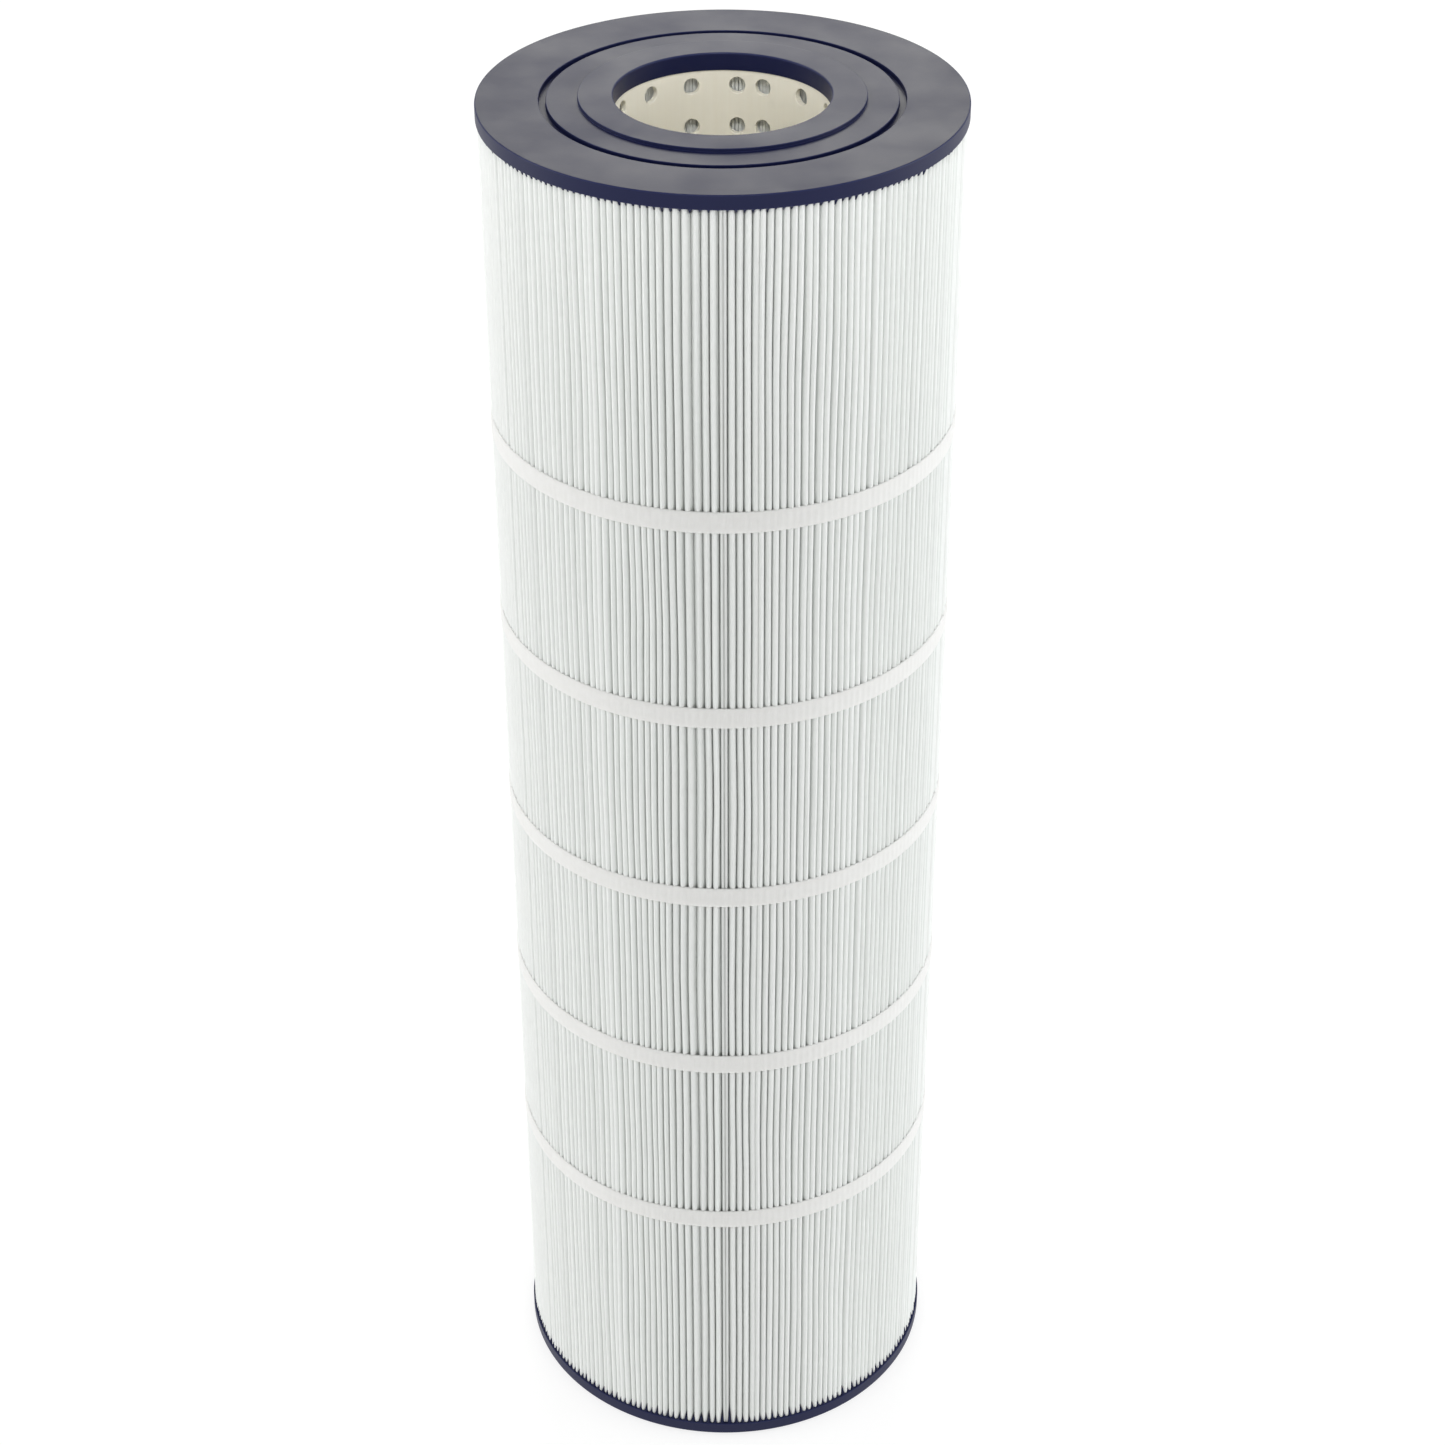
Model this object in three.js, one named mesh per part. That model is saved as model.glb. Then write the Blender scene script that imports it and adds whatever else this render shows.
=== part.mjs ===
// Pleated filter cartridge for a pool or spa filter: two cast urethane end caps, a perforated core
// tube, one sheet of polyester folded into a ring of deep pleats and joined at a glued seam, and
// five flat straps that hold the pleats at an even pitch.
//
// Millimetres, +Z up along the cartridge, origin at the centre of the face it stands on, -Y the front.

import * as THREE from 'three';
import { mergeVertices } from 'three/addons/utils/BufferGeometryUtils.js';

// ---- Driving dimensions -------------------------------------------------------------------------

const INCH = 25.4;

const overallLength = 23.125 * INCH; // sealing face to sealing face
const capRadius = 3.5 * INCH;
const boreRadius = 39.3;

const bossHeight = 1.3; // the sealing ring round the bore stands above the flat of the cap
const bossRadius = 52;
const rimThickness = 5.5;
const rimRound = 0.7;
const grooveInner = 63.4;
const grooveOuter = 66;
const grooveDepth = 2;

const potGap = 0.3; // between a cap's inner face and the ends of the core and the pleats

const coreInner = 39.8;
const coreOuter = 42.3;
const holeSide = 5.6; // a square opening with the area of a 6.35 mm drilled hole
const holeRowPitch = 0.625 * INCH;
const holeRows = 36;
const firstHoleRow = 12.7; // below the top sealing face
const holeColumns = 15;
const seamColumnGap = 14.2; // degrees between the columns on each side of the tube's weld
const coreWeldAngle = 75; // degrees from +X, so behind and a little to the right

const pleatTip = 88.1;
const pleatRoot = 43.4;
const sheetThickness = 0.5;
const crestWidth = 1.2;
const rootWidth = 0.9;
const pleatCount = 204; // whole pleats; the glued seam looks like one more
const seamAngle = -90; // degrees from +X, so at the front
const seamToCrest = 3.25; // along the arc, from the seam to the first whole crest
const seamToRoot = 1.2; // along the arc, from the seam to the fold beside it at the core

const seamLegInner = 0.7; // half the gap between the two cut ends
const seamLegOuter = 1.2;
const seamCutRadius = 87.2;
const beadHalfWidth = 0.35;
const beadInner = 47;
const beadOuter = 86.2;

const strapCount = 5;
const strapPitch = 83.4;
const strapWidth = 8.4;
const strapInner = 88.4;
const strapThickness = 0.6;

const capSegments = 64;
const strapSegments = 60;

const capHeight = bossHeight + rimThickness;
const bodyBottom = capHeight + potGap;
const bodyTop = overallLength - capHeight - potGap;

// ---- Materials ----------------------------------------------------------------------------------

function material(colour, roughness, metalness = 0) {
  return new THREE.MeshStandardMaterial({ color: colour, roughness, metalness });
}

const navyUrethane = () => material(0x2a2d45, 0.55);
const ivoryPolymer = () => material(0xd8d4c0, 0.5);
const whitePolyester = () => material(0xe9ebe8, 0.9);
const strapPolyester = () => material(0xe2e2dd, 0.85);
const meltAdhesive = () => material(0xdedbcf, 0.6);

// ---- Shared helpers -----------------------------------------------------------------------------

const radians = THREE.MathUtils.degToRad;

function polar(radius, angle) {
  return new THREE.Vector2(radius * Math.cos(angle), radius * Math.sin(angle));
}

function named(name, geometry, finish) {
  const mesh = new THREE.Mesh(geometry, finish);
  mesh.name = name;
  return mesh;
}

// Turns a closed profile of [radius, height] points, listed counter-clockwise, about the Z axis.
function turned(profile, segments) {
  const closed = [...profile, profile[0]];
  const points = closed.map(([radius, height]) => new THREE.Vector2(radius, height));
  const geometry = new THREE.LatheGeometry(points, segments);
  geometry.rotateX(Math.PI / 2);
  return geometry;
}

function extruded(outline, bottom, top) {
  const geometry = new THREE.ExtrudeGeometry(new THREE.Shape(outline), {
    depth: top - bottom,
    bevelEnabled: false,
  });
  geometry.translate(0, 0, bottom);
  return geometry;
}

// ---- End caps -----------------------------------------------------------------------------------

// The cap's section with its inner face at height 0 and its sealing face at capHeight.
function capProfile() {
  const groove = rimThickness - grooveDepth;
  return [
    [boreRadius, 0],
    [capRadius - rimRound, 0],
    [capRadius, rimRound],
    [capRadius, rimThickness - rimRound],
    [capRadius - rimRound, rimThickness],
    [grooveOuter, rimThickness],
    [grooveOuter, groove],
    [grooveInner, groove],
    [grooveInner, rimThickness],
    [bossRadius, rimThickness],
    [bossRadius, capHeight],
    [boreRadius + rimRound, capHeight],
    [boreRadius, capHeight - rimRound],
  ];
}

function topEndCap() {
  const cap = named('top_end_cap', turned(capProfile(), capSegments), navyUrethane());
  cap.position.z = overallLength - capHeight;
  return cap;
}

function bottomEndCap() {
  const cap = named('bottom_end_cap', turned(capProfile(), capSegments), navyUrethane());
  cap.rotation.x = Math.PI;
  cap.position.z = capHeight;
  return cap;
}

// ---- Core tube ----------------------------------------------------------------------------------

// Both edges of every hole column, as angles in order round the tube from its weld.
function columnEdges() {
  const columnPitch = (360 - seamColumnGap) / (holeColumns - 1);
  const halfHole = holeSide / 2 / coreOuter;
  const edges = [];
  for (let column = 0; column < holeColumns; column += 1) {
    const centre = radians(coreWeldAngle + seamColumnGap / 2 + column * columnPitch);
    edges.push(centre - halfHole, centre + halfHole);
  }
  return edges;
}

// The tube's two ends with both edges of every hole row between them, from the bottom up.
function rowEdges() {
  const edges = [bodyBottom];
  for (let row = holeRows - 1; row >= 0; row -= 1) {
    const centre = overallLength - firstHoleRow - row * holeRowPitch;
    edges.push(centre - holeSide / 2, centre + holeSide / 2);
  }
  edges.push(bodyTop);
  return edges;
}

// A tube wall laid out as a grid of cells. The cells where a hole column crosses a hole row are left
// open and lined with four walls each. A corner is [radius, edge number round, edge number up].
function coreTube() {
  const angles = columnEdges();
  const heights = rowEdges();
  const topEdge = heights.length - 1;
  const positions = [];

  const corner = ([radius, column, row]) => {
    const flat = polar(radius, angles[column % angles.length]);
    return [flat.x, flat.y, heights[row]];
  };
  const face = (...corners) => {
    const [a, b, c, d] = corners.map(corner);
    positions.push(...a, ...b, ...c, ...a, ...c, ...d);
  };

  for (let column = 0; column < angles.length; column += 1) {
    const next = column + 1;
    for (let row = 0; row < topEdge; row += 1) {
      const above = row + 1;
      const isHole = column % 2 === 0 && row % 2 === 1;
      const outer = [[column, row], [next, row], [next, above], [column, above]];
      const onOuter = outer.map((edge) => [coreOuter, ...edge]);
      const onInner = outer.map((edge) => [coreInner, ...edge]);
      if (isHole) {
        for (let side = 0; side < 4; side += 1) {
          const end = (side + 1) % 4;
          face(onOuter[side], onOuter[end], onInner[end], onInner[side]);
        }
      } else {
        face(...onOuter);
        face(...onInner.reverse());
      }
    }
    face([coreInner, column, 0], [coreInner, next, 0], [coreOuter, next, 0], [coreOuter, column, 0]);
    face(
      [coreOuter, column, topEdge],
      [coreOuter, next, topEdge],
      [coreInner, next, topEdge],
      [coreInner, column, topEdge],
    );
  }

  const geometry = new THREE.BufferGeometry();
  geometry.setAttribute('position', new THREE.Float32BufferAttribute(positions, 3));
  return named('core_tube', mergeVertices(geometry, 1e-4), ivoryPolymer());
}

// ---- Pleated media ------------------------------------------------------------------------------

// A point on the ring at a radius and a signed distance along the arc from a given angle.
function offArc(radius, angle, distance) {
  return polar(radius, angle + distance / radius);
}

// One sheet folded into a C: out along the outer face of every fold, across the cut end, and back
// along the inner face. The two cut ends meet at the seam with the bead between them.
function mediaOutline() {
  const seam = radians(seamAngle);
  const firstCrest = seamToCrest / pleatTip;
  const pitch = (2 * Math.PI - 2 * firstCrest) / (pleatCount - 1);
  const outerFace = [offArc(seamCutRadius, seam, seamLegOuter)];
  const innerFace = [offArc(seamCutRadius, seam, seamLegInner)];

  const foldAtCore = (root) => {
    outerFace.push(polar(pleatRoot + sheetThickness, root));
    innerFace.push(offArc(pleatRoot, root, -rootWidth / 2));
    innerFace.push(offArc(pleatRoot, root, rootWidth / 2));
  };

  foldAtCore(seam + seamToRoot / pleatRoot);
  for (let pleat = 0; pleat < pleatCount; pleat += 1) {
    const crest = seam + firstCrest + pleat * pitch;
    outerFace.push(offArc(pleatTip, crest, -crestWidth / 2));
    outerFace.push(offArc(pleatTip, crest, crestWidth / 2));
    innerFace.push(polar(pleatTip - sheetThickness, crest));
    const isLast = pleat === pleatCount - 1;
    foldAtCore(isLast ? seam - seamToRoot / pleatRoot : crest + pitch / 2);
  }

  outerFace.push(offArc(seamCutRadius, seam, -seamLegOuter));
  innerFace.push(offArc(seamCutRadius, seam, -seamLegInner));
  return [...outerFace, ...innerFace.reverse()];
}

function pleatedMedia() {
  return named('pleated_media', extruded(mediaOutline(), bodyBottom, bodyTop), whitePolyester());
}

function mediaSeamBead() {
  const seam = radians(seamAngle);
  const outline = [
    offArc(beadInner, seam, -beadHalfWidth),
    offArc(beadOuter, seam, -beadHalfWidth),
    offArc(beadOuter, seam, beadHalfWidth),
    offArc(beadInner, seam, beadHalfWidth),
  ];
  return named('media_seam_bead', extruded(outline, bodyBottom, bodyTop), meltAdhesive());
}

// ---- Straps -------------------------------------------------------------------------------------

function strap(index) {
  const centre = overallLength / 2 + ((strapCount - 1) / 2 - index) * strapPitch;
  const profile = [
    [strapInner, -strapWidth / 2],
    [strapInner + strapThickness, -strapWidth / 2],
    [strapInner + strapThickness, strapWidth / 2],
    [strapInner, strapWidth / 2],
  ];
  const band = named(`strap_${index + 1}`, turned(profile, strapSegments), strapPolyester());
  band.position.z = centre;
  return band;
}

// ---- Assembly -----------------------------------------------------------------------------------

const cartridge = new THREE.Group();
cartridge.add(bottomEndCap(), coreTube(), pleatedMedia(), mediaSeamBead());
for (let index = 0; index < strapCount; index += 1) {
  cartridge.add(strap(index));
}
cartridge.add(topEndCap());

export default cartridge;
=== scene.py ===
# %% [markdown]
# # A pleated filter cartridge for a pool or spa
#
# The real object has two cast end caps, a perforated core tube, one long sheet of polyester folded
# into a ring of deep pleats, and five flat straps that hold the pleats apart. The measured model is
# loaded first as a fixed frame. It has the right sizes but plain, straight surfaces. Each cell
# below takes one piece of it and makes the shape and the finish that the eye sees.

# %% Load the measured model
import math
import random

import bmesh
import bpy
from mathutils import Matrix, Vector


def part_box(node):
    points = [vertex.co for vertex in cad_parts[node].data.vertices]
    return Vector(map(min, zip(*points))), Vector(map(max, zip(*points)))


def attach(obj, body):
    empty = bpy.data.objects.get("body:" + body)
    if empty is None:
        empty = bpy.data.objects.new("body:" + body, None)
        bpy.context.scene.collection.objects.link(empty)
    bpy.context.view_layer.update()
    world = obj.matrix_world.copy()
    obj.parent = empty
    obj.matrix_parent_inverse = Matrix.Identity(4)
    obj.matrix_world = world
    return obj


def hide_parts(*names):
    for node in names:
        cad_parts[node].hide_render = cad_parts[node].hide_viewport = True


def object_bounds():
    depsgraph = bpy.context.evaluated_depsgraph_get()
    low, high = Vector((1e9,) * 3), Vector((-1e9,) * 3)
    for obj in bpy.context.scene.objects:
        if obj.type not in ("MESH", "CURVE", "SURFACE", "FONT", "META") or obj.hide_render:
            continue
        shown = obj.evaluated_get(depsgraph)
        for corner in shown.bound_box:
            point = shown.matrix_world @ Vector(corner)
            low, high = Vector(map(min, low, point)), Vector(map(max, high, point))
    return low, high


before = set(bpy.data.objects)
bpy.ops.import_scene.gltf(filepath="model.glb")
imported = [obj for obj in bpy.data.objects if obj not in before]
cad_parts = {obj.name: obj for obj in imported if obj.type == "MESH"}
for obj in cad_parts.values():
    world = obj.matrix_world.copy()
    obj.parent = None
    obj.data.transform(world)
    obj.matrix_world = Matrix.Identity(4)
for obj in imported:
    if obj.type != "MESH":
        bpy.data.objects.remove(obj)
cad_low, cad_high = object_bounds()
print("measured model", [round(side, 4) for side in cad_high - cad_low], "m")

# %% [markdown]
# ## Sizes
#
# Blender works in metres and a cartridge is drawn in millimetres, so lengths are written in
# millimetres times MM. The outer sizes come from the boxes of the frame's nodes. The sizes of the
# details, such as the groove in a cap, are the same driving dimensions that the measured model has.

# %% Driving sizes
MM = 0.001
TAU = 2 * math.pi

cap_low, cap_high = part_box("top_end_cap")
media_low, media_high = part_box("pleated_media")
core_low, core_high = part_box("core_tube")

TOP = cap_high.z
CAP_RADIUS = cap_high.x
CAP_HEIGHT = cap_high.z - cap_low.z
BORE_RADIUS = 39.3 * MM
BOSS_RADIUS = 52.0 * MM
BOSS_HEIGHT = 1.3 * MM
GROOVE_INNER = 63.4 * MM
GROOVE_OUTER = 66.0 * MM
GROOVE_DEPTH = 2.0 * MM

PLEAT_TIP = 88.1 * MM
PLEAT_ROOT = 43.4 * MM
SHEET = 0.5 * MM
PLEATS = 204  # whole pleats; the glued seam looks like one more
SEAM_ANGLE = math.radians(-90)
FIRST_CREST = 3.25 * MM / PLEAT_TIP  # angle from the seam to the first whole crest
PITCH = (TAU - 2 * FIRST_CREST) / (PLEATS - 1)
print("cap radius", round(CAP_RADIUS / MM, 2), "mm")
print("pleat pitch", round(PITCH * PLEAT_TIP / MM, 2), "mm")

# %% [markdown]
# ## Small helpers
#
# Colours are written as the sRGB hex values that a colour picker shows, and Blender's shaders need
# linear light, so one function turns one into the other. Another adds a shader node with its
# settings and its inputs: an input that is given a socket is linked, and any other value is set. A
# mix node has its colours at places 6 and 7 and its mixed colour at output 2, because the places
# before those are for plain numbers and vectors. Meshes are made from lists of points and faces,
# which puts every vertex where it is worked out to be. Modifiers on a primitive wouldn't.


# %% Colour, node and mesh helpers
def linear(hex_colour):
    channels = [int(hex_colour[i : i + 2], 16) / 255 for i in (1, 3, 5)]
    return tuple(c / 12.92 if c <= 0.04045 else ((c + 0.055) / 1.055) ** 2.4 for c in channels) + (1.0,)


def add(tree, kind, settings=None, inputs=None):
    node = tree.nodes.new(kind)
    for name, value in (settings or {}).items():
        setattr(node, name, value)
    for key, value in (inputs or {}).items():
        if isinstance(value, bpy.types.NodeSocket):
            tree.links.new(value, node.inputs[key])
        else:
            node.inputs[key].default_value = value
    return node


def new_material(name, **surface):
    made = bpy.data.materials.new(name)
    made.use_nodes = True
    shader = made.node_tree.nodes["Principled BSDF"]
    for key, value in surface.items():
        shader.inputs[key.replace("_", " ")].default_value = value
    return made, made.node_tree, shader


def new_piece(name, points, faces, material, smooth_angle=40):
    mesh = bpy.data.meshes.new(name)
    mesh.from_pydata(points, [], faces)
    mesh.validate()
    mesh.materials.append(material)
    mesh.shade_smooth()
    mesh.set_sharp_from_angle(angle=math.radians(smooth_angle))
    piece = bpy.data.objects.new(name, mesh)
    bpy.context.scene.collection.objects.link(piece)
    return piece


def polar(radius, angle, height):
    return (radius * math.cos(angle), radius * math.sin(angle), height)


def smooth_step(value):
    held = min(max(value, 0.0), 1.0)
    return held * held * (3 - 2 * held)


# %% [markdown]
# ## Finish 1: cast polyurethane, navy
#
# End caps are poured as a liquid two-part polyurethane into an open mould, and the pleats stand in
# it while it sets. The result is a firm rubber with a satin skin: nearly black-blue where one looks
# straight at it, and veiled with a grey sheen where light skims it. A Principled shader with the
# usual IOR of a polymer, 1.5, and a middling roughness gives that veil by itself, with its specular
# level turned down because the open mould leaves a slightly chalky face. A soft mottle 30 mm wide,
# as from the pour, moves the colour and the roughness a little, and a grain of 0.9 mm pits the
# surface. The rounded edges are painted a touch paler, as a painted highlight where light catches them.


# %% Cast urethane material
# The caps' rounded edges carry this value, and the shader paints them paler there as a painted
# highlight.
EDGE_HIGHLIGHT = "painted_edge_highlight"  # a value that the caps' meshes carry, 1 on their rounded edges


def cast_urethane():
    made, tree, shader = new_material(
        "cast_polyurethane_navy", IOR=1.5, Metallic=0.0, Specular_IOR_Level=0.26
    )
    place = add(tree, "ShaderNodeTexCoord")
    pour = add(
        tree,
        "ShaderNodeTexNoise",
        inputs={
            "Vector": place.outputs["Object"],
            "Scale": 1 / (30 * MM),
            "Detail": 4.0,
            "Roughness": 0.55,
        },
    )
    grain = add(
        tree,
        "ShaderNodeTexNoise",
        inputs={
            "Vector": place.outputs["Object"],
            "Scale": 1 / (0.9 * MM),
            "Detail": 3.0,
            "Roughness": 0.6,
        },
    )
    edge = add(tree, "ShaderNodeAttribute", settings={"attribute_name": EDGE_HIGHLIGHT})
    body = add(
        tree,
        "ShaderNodeMix",
        settings={"data_type": "RGBA"},
        inputs={0: pour.outputs["Fac"], 6: linear("#0b1239"), 7: linear("#0e153f")},
    )
    # Painted highlight: the rounded edges are painted paler, where light would catch them.
    highlighted_colour = add(
        tree,
        "ShaderNodeMix",
        settings={"data_type": "RGBA"},
        inputs={0: edge.outputs["Fac"], 6: body.outputs[2], 7: linear("#1e2550")},
    )
    skin = add(
        tree,
        "ShaderNodeMapRange",
        inputs={
            "Value": pour.outputs["Fac"],
            "From Min": 0.3,
            "From Max": 0.7,
            "To Min": 0.40,
            "To Max": 0.50,
        },
    )
    pits = add(
        tree,
        "ShaderNodeBump",
        inputs={"Strength": 0.25, "Distance": 0.05 * MM, "Height": grain.outputs["Fac"]},
    )
    tree.links.new(highlighted_colour.outputs[2], shader.inputs["Base Color"])
    tree.links.new(skin.outputs["Result"], shader.inputs["Roughness"])
    tree.links.new(pits.outputs["Normal"], shader.inputs["Normal"])
    return made


urethane = cast_urethane()
print("made", urethane.name)

# %% [markdown]
# ## Finish 2: spunbond polyester
#
# The filter sheet is spunbond: endless polyester threads blown flat and bonded with heat, about 0.5
# mm thick. There is no weave. Up close it is a white felt with cloudy thick and thin places some
# 2.5 mm across. The threads are 0.02 mm thick, far too fine to show, so they are drawn 0.6 mm thick
# and four times as long, along the pleat. The straps are the same cloth with its threads running
# round the ring. The roughness is near 1, with a little sheen for the fibre ends that stand up.
# Light goes some way into the felt before it comes back, so a part of it is scattered below the
# surface, which keeps the valleys from going black.


# %% Spunbond polyester material
def spunbond(name, pale, dull, cloud_mm, thread_mm, drawn_out, relief_mm):
    made, tree, shader = new_material(
        name,
        IOR=1.45,
        Metallic=0.0,
        Roughness=0.88,
        Sheen_Weight=0.12,
        Sheen_Roughness=0.5,
        Subsurface_Weight=0.55,
        Subsurface_Radius=(1.0, 1.0, 1.0),
        Subsurface_Scale=2.0 * MM,
    )
    place = add(tree, "ShaderNodeTexCoord")
    along = add(
        tree,
        "ShaderNodeMapping",
        inputs={"Vector": place.outputs["Object"], "Scale": (1.0, 1.0, 1 / drawn_out)},
    )
    cloud = add(
        tree,
        "ShaderNodeTexNoise",
        inputs={"Vector": place.outputs["Object"], "Scale": 1 / (cloud_mm * MM), "Detail": 3.0},
    )
    thread = add(
        tree,
        "ShaderNodeTexNoise",
        inputs={
            "Vector": along.outputs["Vector"],
            "Scale": 1 / (thread_mm * MM),
            "Detail": 4.0,
            "Roughness": 0.7,
        },
    )
    colour = add(
        tree,
        "ShaderNodeMix",
        settings={"data_type": "RGBA"},
        inputs={0: cloud.outputs["Fac"], 6: linear(pale), 7: linear(dull)},
    )
    felt = add(
        tree,
        "ShaderNodeBump",
        inputs={"Strength": 0.35, "Distance": relief_mm * MM, "Height": thread.outputs["Fac"]},
    )
    tree.links.new(colour.outputs[2], shader.inputs["Base Color"])
    tree.links.new(felt.outputs["Normal"], shader.inputs["Normal"])
    return made


media_cloth = spunbond("spunbond_polyester_white", "#ecefec", "#e5e8e5", 2.5, 0.6, 4.0, 0.06)
strap_cloth = spunbond("spunbond_polyester_strap", "#efefec", "#e7e7e3", 3.0, 0.8, 0.5, 0.04)
print("made", media_cloth.name, "and", strap_cloth.name)

# %% [markdown]
# ## Finish 3: ivory core plastic and melt adhesive
#
# The core is a pipe of unpigmented ABS, drilled with small holes. Its natural colour is a warm
# ivory. The extruder's die leaves the skin satin, with faint lines along the tube every 1.5 mm or
# so. The adhesive in the sheet's seam is a melt glue: off-white and slightly glossy, with a lumpy
# skin.


# %% Core and adhesive materials
def natural_abs():
    made, tree, shader = new_material("natural_abs_ivory", IOR=1.53, Metallic=0.0, Subsurface_Weight=0.0)
    place = add(tree, "ShaderNodeTexCoord")
    die_lines = add(
        tree,
        "ShaderNodeMapping",
        inputs={"Vector": place.outputs["Object"], "Scale": (1.0, 1.0, 0.05)},
    )
    lines = add(
        tree,
        "ShaderNodeTexNoise",
        inputs={"Vector": die_lines.outputs["Vector"], "Scale": 1 / (1.5 * MM), "Detail": 3.0},
    )
    colour = add(
        tree,
        "ShaderNodeMix",
        settings={"data_type": "RGBA"},
        inputs={0: lines.outputs["Fac"], 6: linear("#faf7ea"), 7: linear("#f5f0e0")},
    )
    satin = add(
        tree,
        "ShaderNodeMapRange",
        inputs={
            "Value": lines.outputs["Fac"],
            "From Min": 0.3,
            "From Max": 0.7,
            "To Min": 0.38,
            "To Max": 0.48,
        },
    )
    drawn = add(
        tree,
        "ShaderNodeBump",
        inputs={"Strength": 0.15, "Distance": 0.03 * MM, "Height": lines.outputs["Fac"]},
    )
    tree.links.new(colour.outputs[2], shader.inputs["Base Color"])
    tree.links.new(satin.outputs["Result"], shader.inputs["Roughness"])
    tree.links.new(drawn.outputs["Normal"], shader.inputs["Normal"])
    return made


def melt_glue():
    made, tree, shader = new_material("melt_adhesive_cream", IOR=1.48, Metallic=0.0, Roughness=0.35)
    place = add(tree, "ShaderNodeTexCoord")
    lumps = add(
        tree,
        "ShaderNodeTexNoise",
        inputs={"Vector": place.outputs["Object"], "Scale": 1 / (4 * MM), "Detail": 2.0},
    )
    colour = add(
        tree,
        "ShaderNodeMix",
        settings={"data_type": "RGBA"},
        inputs={0: lumps.outputs["Fac"], 6: linear("#f4f4ef"), 7: linear("#eeede6")},
    )
    set_skin = add(
        tree,
        "ShaderNodeBump",
        inputs={"Strength": 0.5, "Distance": 0.3 * MM, "Height": lumps.outputs["Fac"]},
    )
    tree.links.new(colour.outputs[2], shader.inputs["Base Color"])
    tree.links.new(set_skin.outputs["Normal"], shader.inputs["Normal"])
    return made


core_plastic = natural_abs()
adhesive = melt_glue()
print("made", core_plastic.name, "and", adhesive.name)

# %% [markdown]
# ## Where each pleat stands
#
# A pleating machine folds every pleat alike, but the ring is closed and strapped by hand, so the
# crests stand a little unevenly and wander from side to side between the straps. An array modifier
# would make them all the same, so the places are worked out here instead: each pleat has its own
# small shift, reach and width from a seeded generator, and slow waves run through neighbours
# together. The straps and the caps hold the pitch, so the wandering dies down near them. The pleats
# were pushed along to let the seam close, so the last ones before it stand wider apart.

# %% Pleat places
dice = random.Random(41)
SEAM_ROOT = 1.2 * MM  # from the seam to the fold beside it at the core
CUT_RADIUS = 87.5 * MM  # of the sheet's two cut edges, which stand side by side at the seam
CUT_INNER = 0.12 * MM  # from the seam to the near face of a cut edge
CUT_OUTER = 0.92 * MM  # and to its far face
STRAPS = 5
STRAP_PITCH = 83.4 * MM
STRAP_HEIGHTS = [TOP / 2 + (2 - k) * STRAP_PITCH for k in range(STRAPS)]
HELD_AT = [media_low.z] + STRAP_HEIGHTS[::-1] + [media_high.z]
LEAST_LOOSE = 0.3

pleat_shift = [dice.gauss(0, 0.075) * PITCH for _ in range(PLEATS)]
pleat_reach = [dice.uniform(-0.20, 0.12) * MM for _ in range(PLEATS)]
PLEAT_HALF = 1.10 * MM
pleat_half = [PLEAT_HALF * dice.uniform(0.92, 1.06) for _ in range(PLEATS)]
own_wave = [
    # start, length, reach
    (dice.uniform(0, TAU), dice.uniform(70, 150) * MM, dice.uniform(0.03, 0.10) * MM)
    for _ in range(PLEATS)
]
SPREAD = 2.7 * MM  # how far the last pleats before the seam stand off their even places, at most
SPREAD_RISE = 15 * MM  # along the ring from the seam, while the spread grows
SPREAD_FALL = 60 * MM  # and further on, while it fades again
SHARED_WAVES = [
    # wavelength up the cartridge, waves round the ring, side-to-side reach, start
    (310 * MM, 5, 0.32 * MM, 0.4),
    (170 * MM, 11, 0.18 * MM, 2.1),
    (95 * MM, 17, 0.07 * MM, 4.0),
]


def looseness(height):
    """Least where a strap or a cap holds the pleats, and 1 half-way between two of them."""
    for low, high in zip(HELD_AT, HELD_AT[1:]):
        if height <= high:
            between = math.sin(math.pi * max(height - low, 0) / (high - low)) ** 2
            return LEAST_LOOSE + (1 - LEAST_LOOSE) * between
    return LEAST_LOOSE


def seam_spread(pleat):
    """The last pleats before the seam stand wider apart, and those before them a little closer."""
    to_seam = (PLEATS - 1 - pleat) * PITCH * PLEAT_TIP
    falling = smooth_step((to_seam - SPREAD_RISE) / SPREAD_FALL)
    return SPREAD * smooth_step(to_seam / SPREAD_RISE) * (1 - falling)


def crest_angle(pleat, height):
    start, length, reach = own_wave[pleat]
    sway = reach * math.sin(TAU * height / length + start)
    for shared_length, rounds, shared_reach, shared_start in SHARED_WAVES:
        turn = TAU * (height / shared_length + rounds * pleat / PLEATS)
        sway += shared_reach * math.sin(turn + shared_start)
    middle = SEAM_ANGLE + FIRST_CREST + pleat * PITCH - seam_spread(pleat) / PLEAT_TIP
    return middle + pleat_shift[pleat] + looseness(height) * sway / PLEAT_TIP


def valley_angle(valley, height):
    """The middle of the gap between two crests; the first and the last lie beside the seam."""
    beside_seam = (CUT_OUTER / PLEAT_TIP + FIRST_CREST - PLEAT_HALF / PLEAT_TIP) / 2
    if valley == 0:
        return SEAM_ANGLE + beside_seam
    if valley == PLEATS:
        return SEAM_ANGLE - beside_seam + TAU
    return (crest_angle(valley - 1, height) + crest_angle(valley, height)) / 2


def root_angle(root, height):
    """The fold against the core, which holds nearer to an even pitch than the crests do."""
    if root == 0:
        return SEAM_ANGLE + SEAM_ROOT / PLEAT_ROOT
    if root == PLEATS:
        return SEAM_ANGLE - SEAM_ROOT / PLEAT_ROOT + TAU
    even = SEAM_ANGLE + FIRST_CREST + (root - 0.5) * PITCH
    return (even + valley_angle(root, height)) / 2


print(PLEATS, "pleats and a seam, held at", len(HELD_AT), "heights")

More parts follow.
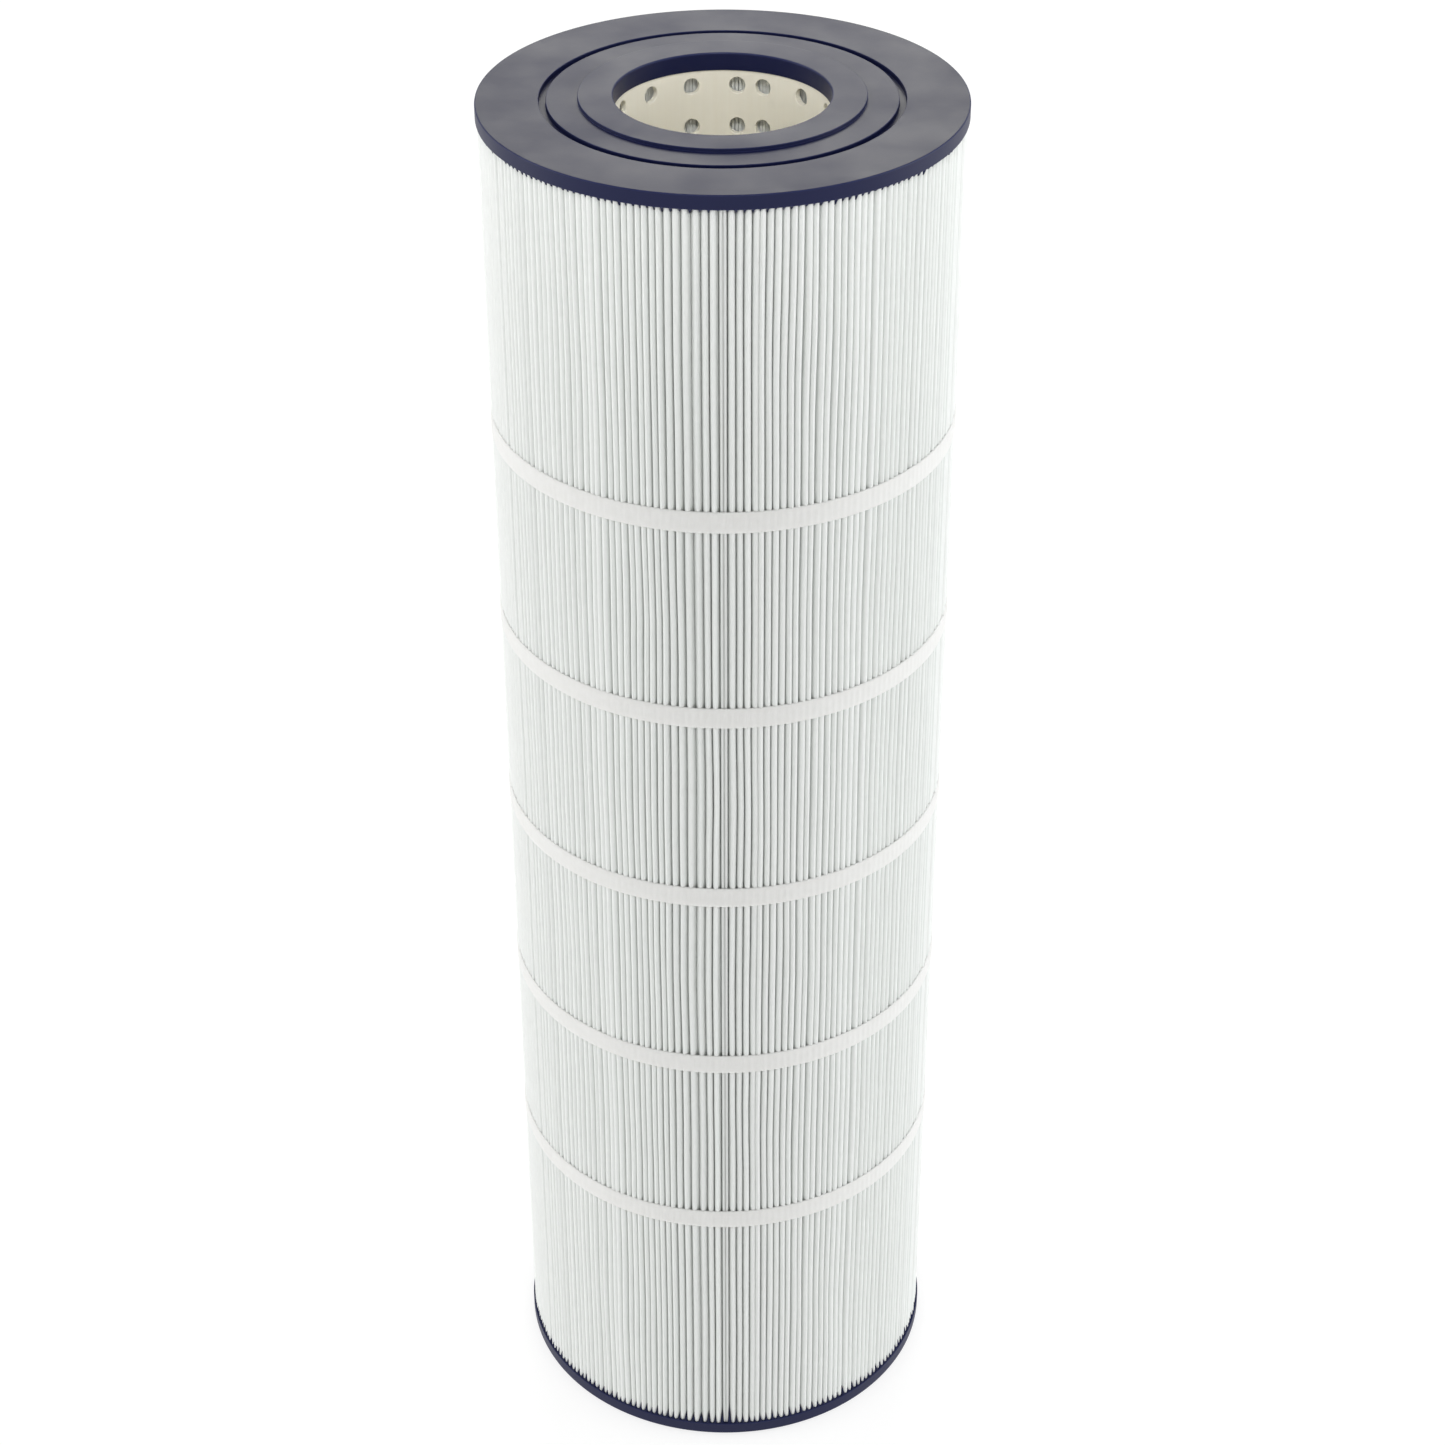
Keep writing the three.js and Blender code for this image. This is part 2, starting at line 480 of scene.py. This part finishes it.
# %% [markdown]
# ## The folded sheet
#
# It is one sheet with a real thickness, so its section is a long closed path: round the ring along
# the outer face of every fold and back along the inner face. Each crest is a rounded bend with five
# points, because the crests are what the light catches. Behind its crest the sheet springs open
# until it all but meets the next pleat, so a valley is only some 2.5 mm deep, and the air is inside
# the pleats. The folds at the core are plain, because only the core's holes show them. A grid with
# a wave modifier could give a zigzag, but not the separate shift of every pleat.

# %% One section of the sheet
CREST_BEND = [
    # below the crest, across it as a share of its half width
    (1.20 * MM, -1.0),
    (0.36 * MM, -0.72),
    (0.0, 0.0),
    (0.36 * MM, 0.72),
    (1.20 * MM, 1.0),
]
CREST_INNER_DROP = 1.3 * SHEET  # from the top of a crest to the inner face under it
FLANK_RADIUS = 85.7 * MM
FLANK_GAP = 0.12 * MM  # half the gap that is left between two pleats at the flank radius
ROOT_HALF = 0.56 * MM  # half the width of the inner face where it lies against the core


def sheet_section(height):
    """Outer and inner faces of the folded sheet at a height, as points in order round the ring."""
    outer = []
    inner = []

    def cut_edge(side):
        outer.append(polar(CUT_RADIUS, SEAM_ANGLE + side * CUT_OUTER / CUT_RADIUS, height))
        inner.append(polar(CUT_RADIUS, SEAM_ANGLE + side * CUT_INNER / CUT_RADIUS, height))

    def flank(valley, side):
        """A leg of the sheet where it has all but met its neighbour, on one side of a valley."""
        middle = valley_angle(valley, height)
        outer.append(polar(FLANK_RADIUS, middle + side * FLANK_GAP / FLANK_RADIUS, height))
        inner.append(polar(FLANK_RADIUS, middle + side * (FLANK_GAP + SHEET) / FLANK_RADIUS, height))

    def fold_at_core(root):
        angle = root_angle(root, height)
        outer.append(polar(PLEAT_ROOT + SHEET, angle, height))
        inner.append(polar(PLEAT_ROOT, angle - ROOT_HALF / PLEAT_ROOT, height))
        inner.append(polar(PLEAT_ROOT, angle + ROOT_HALF / PLEAT_ROOT, height))

    def crest(pleat):
        angle = crest_angle(pleat, height)
        tip = PLEAT_TIP + pleat_reach[pleat]
        half = pleat_half[pleat] / tip
        for drop, across in CREST_BEND:
            outer.append(polar(tip - drop, angle + across * half, height))
        inner.append(polar(tip - CREST_INNER_DROP, angle, height))

    cut_edge(1)
    flank(0, -1)
    fold_at_core(0)
    flank(0, 1)
    for pleat in range(PLEATS):
        crest(pleat)
        flank(pleat + 1, -1)
        fold_at_core(pleat + 1)
        flank(pleat + 1, 1)
    cut_edge(-1)
    return outer, inner


first_outer, first_inner = sheet_section(media_low.z)
print("a section with", len(first_outer), "outer and", len(first_inner), "inner points")

# %% [markdown]
# The section is worked out at 36 heights and the sections are joined with quads. That leaves the
# sheet's thickness open at both ends. One huge face there would be cut into triangles in ways that
# nobody can foresee, so small faces are laid along the edge, each over part of one leg or fold.

# %% The whole sheet
SECTIONS = 36
POTTED = 1.5 * MM  # how far the sheet's edges reach into the cast caps


def edge_faces(outer_count):
    """The faces of the sheet's upper edge, whose outer points come first and then its inner ones."""
    faces = []
    bend = len(CREST_BEND)
    outer = 0
    inner = outer_count

    def leg():
        nonlocal outer, inner
        faces.append((outer, outer + 1, inner + 1, inner))
        outer += 1
        inner += 1

    def fold_at_core():
        nonlocal inner
        faces.append((outer, inner + 1, inner))
        inner += 1

    leg()
    leg()
    fold_at_core()
    leg()
    for _ in range(PLEATS):
        leg()
        faces.append(tuple(range(outer, outer + bend)) + (inner,))
        outer += bend - 1
        leg()
        leg()
        fold_at_core()
        leg()
    leg()
    return faces


def folded_sheet():
    low = media_low.z - POTTED
    high = media_high.z + POTTED
    points = []
    for section in range(SECTIONS):
        outer, inner = sheet_section(low + (high - low) * section / (SECTIONS - 1))
        points += outer + inner
    outer_count = len(outer)
    count = outer_count + len(inner)
    loop = list(range(outer_count)) + list(range(count - 1, outer_count - 1, -1))
    faces = []
    for section in range(SECTIONS - 1):
        base = section * count
        for a, b in zip(loop, loop[1:] + loop[:1]):
            faces.append((base + a, base + b, base + count + b, base + count + a))
    ends = edge_faces(outer_count)
    top = (SECTIONS - 1) * count
    faces += [tuple(reversed(face)) for face in ends]
    faces += [tuple(top + corner for corner in face) for face in ends]
    return new_piece("folded_media", points, faces, media_cloth, 50)


media = folded_sheet()
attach(media, "root")
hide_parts("pleated_media")

print("folded into", len(media.data.polygons), "faces")

# %% [markdown]
# ## The glued seam
#
# The sheet's two ends meet inside one pleat, with a bead of melt glue between them. A bead that is
# laid by hand swells and thins, so it is a short closed section swept up the seam, with its width
# and its outer edge moved by slow waves. A bevelled curve would be as easy, but its outer edge
# couldn't wander while the rest stays where it is.

# %% Seam bead
BEAD_STEPS = 90
BEAD_SECTION = [
    # radius, half width: it lies in the slot that the two cut ends close over
    (47.0 * MM, 0.55 * MM),
    (70.0 * MM, 0.70 * MM),
    (84.8 * MM, 0.75 * MM),
    (86.4 * MM, 0.36 * MM),
    (86.9 * MM, 0.16 * MM),
]
EDGE_FROM = 80 * MM  # outside this radius the section moves with its outer edge
EDGE_OVER = 6 * MM
EDGE_SWING = 0.25 * MM
EDGE_SUNK = 0.7 * MM  # so that the glue stays below the two cut ends


def seam_bead():
    half = [(radius, -width) for radius, width in BEAD_SECTION]
    section = half + [(radius, -width) for radius, width in reversed(half)]
    points = []
    faces = []
    for step in range(BEAD_STEPS + 1):
        height = media_low.z + (media_high.z - media_low.z) * step / BEAD_STEPS
        swell = 0.97 + 0.05 * math.sin(height / (9 * MM)) * math.sin(height / (23 * MM))
        edge = EDGE_SWING * math.sin(height / (14 * MM) + 1) - EDGE_SUNK
        for radius, side in section:
            reach = radius + edge * smooth_step((radius - EDGE_FROM) / EDGE_OVER)
            points.append(polar(reach, SEAM_ANGLE + side * swell / reach, height))
    sides = len(section)
    for step in range(BEAD_STEPS):
        for side in range(sides):
            a = step * sides + side
            b = step * sides + (side + 1) % sides
            faces.append((a, b, b + sides, a + sides))
    faces.append(tuple(range(sides))[::-1])
    faces.append(tuple(BEAD_STEPS * sides + side for side in range(sides)))
    return new_piece("seam_glue", points, faces, adhesive)


glue = seam_bead()
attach(glue, "root")
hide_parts("media_seam_bead")
print("seam bead with", len(glue.data.polygons), "faces")

# %% [markdown]
# ## The end caps
#
# A cap is a turned shape, so its section is written once as a list of corners with a rounding for
# each, and swept round. One side of it isn't round: where the liquid urethane meets the pleats it
# climbs a little way up between them and sets as small points. So the sweep has six steps for each
# pleat, at the pleats' own angles, and the face towards the pleats rises between the crests.
# Separate fillet pieces would leave seams in a cap that is cast in one. Smooth shading alone would
# bend the light over the wide flats as if they were domed, so a weighted normal modifier lets the
# largest face at each vertex decide.

# %% Cap section
RIM = CAP_HEIGHT - BOSS_HEIGHT
SEAL_CORNERS = [
    # radius, height above the inner face, rounding
    (CAP_RADIUS, 0.0, 0.35 * MM),
    (CAP_RADIUS, RIM, 0.55 * MM),
    (GROOVE_OUTER, RIM, 0.3 * MM),
    (GROOVE_OUTER, RIM - GROOVE_DEPTH, 0.2 * MM),
    (GROOVE_INNER, RIM - GROOVE_DEPTH, 0.2 * MM),
    (GROOVE_INNER, RIM, 0.3 * MM),
    (BOSS_RADIUS, RIM, 0.15 * MM),
    (BOSS_RADIUS, CAP_HEIGHT, 0.3 * MM),
    (BORE_RADIUS, CAP_HEIGHT, 0.7 * MM),
    (BORE_RADIUS, 0.0, 0.2 * MM),
]
# Rings of the inner face from the bore outwards, with how fully the urethane climbs there.
INNER_RINGS = [(44, 0), (60, 0), (70, 0.25), (77, 0.75), (82, 1), (85, 1), (86.8, 0.95), (87.8, 0.7)]
ARC_STEPS = 3


def rounded(corners):
    """The corners of a closed path, each turned into a short arc, and how much painted highlight each
    gets.
    """
    path = []
    for k, (radius, height, rounding) in enumerate(corners):
        here = Vector((radius, height))
        before = Vector(corners[k - 1][:2])
        after = Vector(corners[(k + 1) % len(corners)][:2])
        start = here + (before - here).normalized() * rounding
        end = here + (after - here).normalized() * rounding
        for step in range(ARC_STEPS + 1):
            t = step / ARC_STEPS
            place = start * (1 - t) ** 2 + here * 2 * t * (1 - t) + end * t**2
            path.append((place.x, place.y, 4 * t * (1 - t)))
    return path


print("cap section with", len(rounded(SEAL_CORNERS)) + len(INNER_RINGS), "points")

# %% Sweep a cap
# Share of the way from one crest to the next, and share of the urethane's climb there.
CLIMB_STEPS = [(0.0, 0.0), (0.2, 0.03), (0.36, 0.4), (0.5, 1.0), (0.64, 0.4), (0.8, 0.03)]


def end_cap(name, face_height, direction, climbs):
    """direction is 1 for a cap whose sealing face looks up, and -1 for one that looks down."""
    inner_height = face_height - direction * CAP_HEIGHT
    edge = inner_height + direction * POTTED
    crests = [crest_angle(pleat, edge) for pleat in range(PLEATS)]
    crests += [SEAM_ANGLE + TAU, crests[0] + TAU]
    section = [(radius, height, 0.0, highlight_share) for radius, height, highlight_share in rounded(SEAL_CORNERS)]
    section += [(radius * MM, 0.0, climb, 0.0) for radius, climb in INNER_RINGS]
    points = []
    faces = []
    for pleat in range(PLEATS + 1):
        span = crests[pleat + 1] - crests[pleat]
        for along, rise in CLIMB_STEPS:
            angle = crests[pleat] + along * span
            for radius, height, climb, _ in section:
                lifted = height - climb * rise * climbs[pleat]
                points.append(polar(radius, angle, inner_height + direction * lifted))
    columns = (PLEATS + 1) * len(CLIMB_STEPS)
    count = len(section)
    for column in range(columns):
        here = column * count
        there = (column + 1) % columns * count
        for k in range(count):
            face = (here + k, there + k, there + (k + 1) % count, here + (k + 1) % count)
            faces.append(face if direction > 0 else face[::-1])
    cap = new_piece(name, points, faces, urethane, 35)
    flats = cap.modifiers.new("flats_stay_flat", "WEIGHTED_NORMAL")
    flats.keep_sharp = True
    # Painted highlight: 1 on the rounded edges, which the shader paints paler.
    highlight_share = cap.data.attributes.new(EDGE_HIGHLIGHT, "FLOAT", "POINT")
    highlight_share.data.foreach_set("value", [row[3] for row in section] * columns)
    return cap


# %% Make both caps
top_climbs = [dice.triangular(0.9, 3.0, 1.5) * MM for _ in range(PLEATS + 1)]
bottom_climbs = [dice.triangular(1.6, 5.2, 2.6) * MM for _ in range(PLEATS + 1)]
# The wide valleys beside the seam let it rise further.
bottom_climbs[PLEATS] = 8.0 * MM
bottom_climbs[PLEATS - 1] = 6.0 * MM

for name, node, face_height, direction, climbs in (
    ("cast_top_cap", "top_end_cap", cap_high.z, 1, top_climbs),
    ("cast_bottom_cap", "bottom_end_cap", cad_low.z, -1, bottom_climbs),
):
    cap = end_cap(name, face_height, direction, climbs)
    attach(cap, "root")
    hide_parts(node)
    print(name, len(cap.data.polygons), "faces")

# %% [markdown]
# ## The core tube
#
# The core is a pipe with rows of round holes. Cutting more than five hundred holes with booleans is
# slow and leaves long thin faces that shade badly. So the wall is laid out as tiles instead, one
# for each hole: a ring of quads runs from the round hole to the tile's straight edges, on both
# faces of the wall, and the hole has its own wall and a small broken edge. The columns are even
# apart from one narrow gap, where the tube was closed along its length.

# %% Core sizes and a tile's edge
CORE_INNER = 39.8 * MM
CORE_OUTER = 42.3 * MM
HOLE_RADIUS = 6.35 / 2 * MM
HOLE_BREAK = 0.2 * MM  # width of the broken edge round each hole
HOLE_ROWS = 36
HOLE_ROW_PITCH = 15.875 * MM
FIRST_HOLE_ROW = 12.7 * MM  # below the top sealing face
HOLE_COLUMNS = 15
SEAM_GAP = math.radians(14.2)
TUBE_SEAM = math.radians(75)
SIDE_STEPS = 6  # along each side of a tile
CORE_REACH = 0.6 * MM  # the tube's ends stand this far into the caps' inner faces


def tile_edge(low_angle, high_angle, low, high):
    """Points round a tile's edge, the same number along each side, so that neighbours share them."""
    steps = [k / SIDE_STEPS for k in range(SIDE_STEPS)]
    edge = [(low_angle + (high_angle - low_angle) * t, low) for t in steps]
    edge += [(high_angle, low + (high - low) * t) for t in steps]
    edge += [(high_angle + (low_angle - high_angle) * t, high) for t in steps]
    edge += [(low_angle, high + (low - high) * t) for t in steps]
    return edge


print(HOLE_ROWS, "rows of", HOLE_COLUMNS, "holes, and one tile for each")


# %% Core tube
def core_tube():
    column_pitch = (TAU - SEAM_GAP) / (HOLE_COLUMNS - 1)
    centres = [TUBE_SEAM + SEAM_GAP / 2 + k * column_pitch for k in range(HOLE_COLUMNS)]
    walls = [TUBE_SEAM] + [(a + b) / 2 for a, b in zip(centres, centres[1:])] + [TUBE_SEAM + TAU]
    rows = [TOP - FIRST_HOLE_ROW - k * HOLE_ROW_PITCH for k in range(HOLE_ROWS - 1, -1, -1)]
    low_end = core_low.z - CORE_REACH
    high_end = core_high.z + CORE_REACH
    floors = [low_end] + [(a + b) / 2 for a, b in zip(rows, rows[1:])] + [high_end]
    points = []
    faces = []
    sides = 4 * SIDE_STEPS
    for column, middle in enumerate(centres):
        for row, height in enumerate(rows):
            edge = tile_edge(walls[column], walls[column + 1], floors[row], floors[row + 1])
            base = len(points)
            rings = (
                (CORE_OUTER, None),
                (CORE_OUTER, HOLE_RADIUS + HOLE_BREAK),
                (CORE_OUTER - HOLE_BREAK, HOLE_RADIUS),
                (CORE_INNER + HOLE_BREAK, HOLE_RADIUS),
                (CORE_INNER, HOLE_RADIUS + HOLE_BREAK),
                (CORE_INNER, None),
            )
            for radius, hole in rings:
                for angle, z in edge:
                    if hole is None:
                        points.append(polar(radius, angle, z))
                        continue
                    turn = math.atan2(z - height, (angle - middle) * CORE_OUTER)
                    across = middle + hole * math.cos(turn) / CORE_OUTER
                    points.append(polar(radius, across, height + hole * math.sin(turn)))
            for ring in range(len(rings) - 1):
                for k in range(sides):
                    a = base + ring * sides + k
                    b = base + ring * sides + (k + 1) % sides
                    faces.append((a, b, b + sides, a + sides))
            inside = base + (len(rings) - 1) * sides
            for k in range(SIDE_STEPS):
                if row == 0:
                    faces.append((base + k + 1, base + k, inside + k, inside + k + 1))
                if row == HOLE_ROWS - 1:
                    m = 2 * SIDE_STEPS + k
                    faces.append((base + m + 1, base + m, inside + m, inside + m + 1))
    tube = new_piece("drilled_core", points, faces, core_plastic, 35)
    # Neighbouring tiles have the same points along the edge they share, so these are merged.
    joined = bmesh.new()
    joined.from_mesh(tube.data)
    bmesh.ops.remove_doubles(joined, verts=joined.verts, dist=0.001 * MM)
    bmesh.ops.recalc_face_normals(joined, faces=joined.faces)
    joined.to_mesh(tube.data)
    joined.free()
    return tube


core = core_tube()
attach(core, "root")
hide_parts("core_tube")
print("core tube with", HOLE_ROWS * HOLE_COLUMNS, "holes,", len(core.data.polygons), "faces")

# %% [markdown]
# ## The straps
#
# Each strap is a flat ribbon of the same white polyester, drawn round the crests, glued to them and
# lapped over its own start. A torus with a flat section would be too perfect: the real ribbon dips
# slightly between the crests, its edges are soft, and its end lies on top of its beginning. So a
# small rounded section is carried round the ring in short steps and climbs by its own thickness
# over the last stretch. The laps are at the back, each at a different place.

# %% Straps
STRAP_WIDTH = 8.4 * MM
STRAP_THICK = 0.6 * MM
STRAP_INNER = 87.72 * MM
STRAP_STEPS = 4  # for each pleat
STRAP_DIP = 0.07 * MM
LAP = 17 * MM
LAP_RAMP = 7 * MM  # before the lap, while the ribbon climbs
LAP_CLIMB = 1.08 * STRAP_THICK
LAP_FROM = 55  # degrees from +X, so every lap is at the back
LAP_TO = 125
STRAP_SECTION = [
    # across the strap's thickness and along its width, as shares of each
    (0.0, -0.515),
    (0.0, -0.2),
    (0.0, 0.2),
    (0.0, 0.515),
    (0.5, 0.51),
    (0.8, 0.485),
    (1.0, 0.44),
    (1.03, 0.2),
    (1.03, -0.2),
    (1.0, -0.44),
    (0.8, -0.485),
    (0.5, -0.51),
]


def strap(number, middle, start_angle):
    points = []
    faces = []
    turns = (PLEATS + 1) * STRAP_STEPS
    stride = TAU / turns
    lap_steps = math.ceil(LAP / PLEAT_TIP / stride)
    drift = dice.uniform(0.1, 0.35) * MM
    phase = dice.uniform(0, TAU)
    for step in range(turns + lap_steps + 1):
        angle = start_angle + step * stride
        past = (step - turns) * stride * PLEAT_TIP
        climb = LAP_CLIMB * smooth_step(1 + past / LAP_RAMP)
        dip = STRAP_DIP * math.cos(TAU * step / STRAP_STEPS)
        sag = drift * math.sin(2 * angle + phase)
        for across, along in STRAP_SECTION:
            radius = STRAP_INNER + climb + dip + across * STRAP_THICK
            points.append(polar(radius, angle, middle + sag + along * STRAP_WIDTH))
    count = len(STRAP_SECTION)
    for step in range(turns + lap_steps):
        for k in range(count):
            a = step * count + k
            b = step * count + (k + 1) % count
            faces.append((a, a + count, b + count, b))
    faces.append(tuple(range(count)))
    faces.append(tuple((turns + lap_steps) * count + k for k in range(count))[::-1])
    return new_piece(f"bonded_strap_{number}", points, faces, strap_cloth, 60)


for number, middle in enumerate(STRAP_HEIGHTS, 1):
    band = strap(number, middle, math.radians(dice.uniform(LAP_FROM, LAP_TO)))
    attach(band, "root")
    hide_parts(f"strap_{number}")
    print(band.name, "at", round(middle / MM, 1), "mm")

# %% [markdown]
# ## Floor, light and camera
#
# White goods on white need soft light from both sides, so that the pleats' edges glow and the dark
# valleys show only where one looks straight into them. The floor is a lit white table, which glows
# by itself and takes only a faint shadow, and the surroundings are white at the horizon and dimmer
# overhead, like a studio sweep. A wide lamp above and behind lays the grey sheen on the dark cap, a
# weaker one in front fills the valleys, and a narrow one lights the inside of the bore. The
# standard view transform keeps whites white. The camera stands about a metre in front and a metre
# up, and looks down at 33 degrees, so the bore shows the core inside it.

# %% Floor
FLOOR_LEVEL = cad_low.z - 0.1 * MM
FLOOR_HALF = 6.0


def plain_floor():
    made, tree, shader = new_material(
        "studio_floor_white",
        Roughness=0.9,
        Metallic=0.0,
        Emission_Color=(1.0, 1.0, 1.0, 1.0),
        Emission_Strength=0.80,
    )
    place = add(tree, "ShaderNodeTexCoord")
    tone = add(
        tree,
        "ShaderNodeTexNoise",
        inputs={"Vector": place.outputs["Object"], "Scale": 1 / (333 * MM)},
    )
    colour = add(
        tree,
        "ShaderNodeMix",
        settings={"data_type": "RGBA"},
        inputs={0: tone.outputs["Fac"], 6: linear("#8c8c8c"), 7: linear("#868686")},
    )
    tree.links.new(colour.outputs[2], shader.inputs["Base Color"])
    around = ((-1, -1), (1, -1), (1, 1), (-1, 1))
    corners = [(x * FLOOR_HALF, y * FLOOR_HALF, FLOOR_LEVEL) for x, y in around]
    return new_piece("studio_floor", corners, [(0, 1, 2, 3)], made)


plain_floor()
print("floor laid", round((cad_low.z - FLOOR_LEVEL) / MM, 2), "mm below the bottom cap")


# %% Lamps and surroundings
def soft_lamp(name, place, target, width, height, watts, colour):
    lamp = bpy.data.lights.new(name, "AREA")
    lamp.shape = "RECTANGLE"
    lamp.size = width
    lamp.size_y = height
    lamp.energy = watts
    lamp.color = linear(colour)[:3]
    holder = bpy.data.objects.new(name, lamp)
    holder.location = place
    holder.rotation_euler = (Vector(target) - Vector(place)).to_track_quat("-Z", "Y").to_euler()
    bpy.context.scene.collection.objects.link(holder)


middle = (0.0, 0.0, TOP / 2)
soft_lamp("left_softbox", (-1.9, 0.1, 0.9), middle, 1.2, 1.8, 13, "#ffffff")
soft_lamp("right_softbox", (1.9, 0.1, 0.9), middle, 1.2, 1.8, 16, "#fbfdff")
soft_lamp("back_sheen", (0.0, 2.4, 2.0), (0.0, 0.0, TOP), 1.3, 1.2, 21, "#fffdf2")
soft_lamp("front_overhead", (0.0, -1.5, 2.6), (0.0, 0.0, TOP * 0.7), 1.6, 1.2, 8, "#ffffff")

snoot = bpy.data.lights.new("bore_snoot", "SPOT")
snoot.energy = 24
snoot.spot_size = math.radians(8)
snoot.spot_blend = 0.4
snoot.shadow_soft_size = 0.08
snoot_holder = bpy.data.objects.new("bore_snoot", snoot)
snoot_holder.location = (0.0, -0.85, TOP + 0.95)
bore_wall = Vector((0.0, BORE_RADIUS, TOP - 20 * MM))
snoot_holder.rotation_euler = (bore_wall - snoot_holder.location).to_track_quat("-Z", "Y").to_euler()
bpy.context.scene.collection.objects.link(snoot_holder)

world = bpy.data.worlds.new("white_studio")
world.use_nodes = True
sky = world.node_tree
around = add(sky, "ShaderNodeTexCoord")
direction = add(sky, "ShaderNodeSeparateXYZ", inputs={"Vector": around.outputs["Generated"]})
sweep = add(
    sky,
    "ShaderNodeMapRange",
    inputs={
        "Value": direction.outputs["Z"],
        "From Min": 0.12,
        "From Max": 0.60,
        "To Min": 1.0,
        "To Max": 0.36,
    },
)
sky.nodes["Background"].inputs["Color"].default_value = linear("#ffffff")
sky.links.new(sweep.outputs["Result"], sky.nodes["Background"].inputs["Strength"])
bpy.context.scene.world = world
bpy.context.scene.view_settings.view_transform = "Standard"
print("studio with", len(bpy.data.lights), "lamps")

# %% Camera
CAMERA_BACK = 1.0197
CAMERA_UP = 0.9868
CAMERA_DOWN = math.radians(33.28)
CAMERA_ROLL = math.radians(0.14)
CAMERA_YAW = math.radians(-0.054)
camera_data = bpy.data.cameras.new("camera")
camera_data.sensor_width = 36.0
camera_data.lens = 74.57
camera = bpy.data.objects.new("camera", camera_data)
camera.location = (0.0, -CAMERA_BACK, cad_low.z + CAMERA_UP)
camera.rotation_euler = (math.pi / 2 - CAMERA_DOWN, CAMERA_ROLL, CAMERA_YAW)
bpy.context.scene.collection.objects.link(camera)
bpy.context.scene.camera = camera
print("camera", [round(v, 3) for v in camera.location], "lens", camera_data.lens)
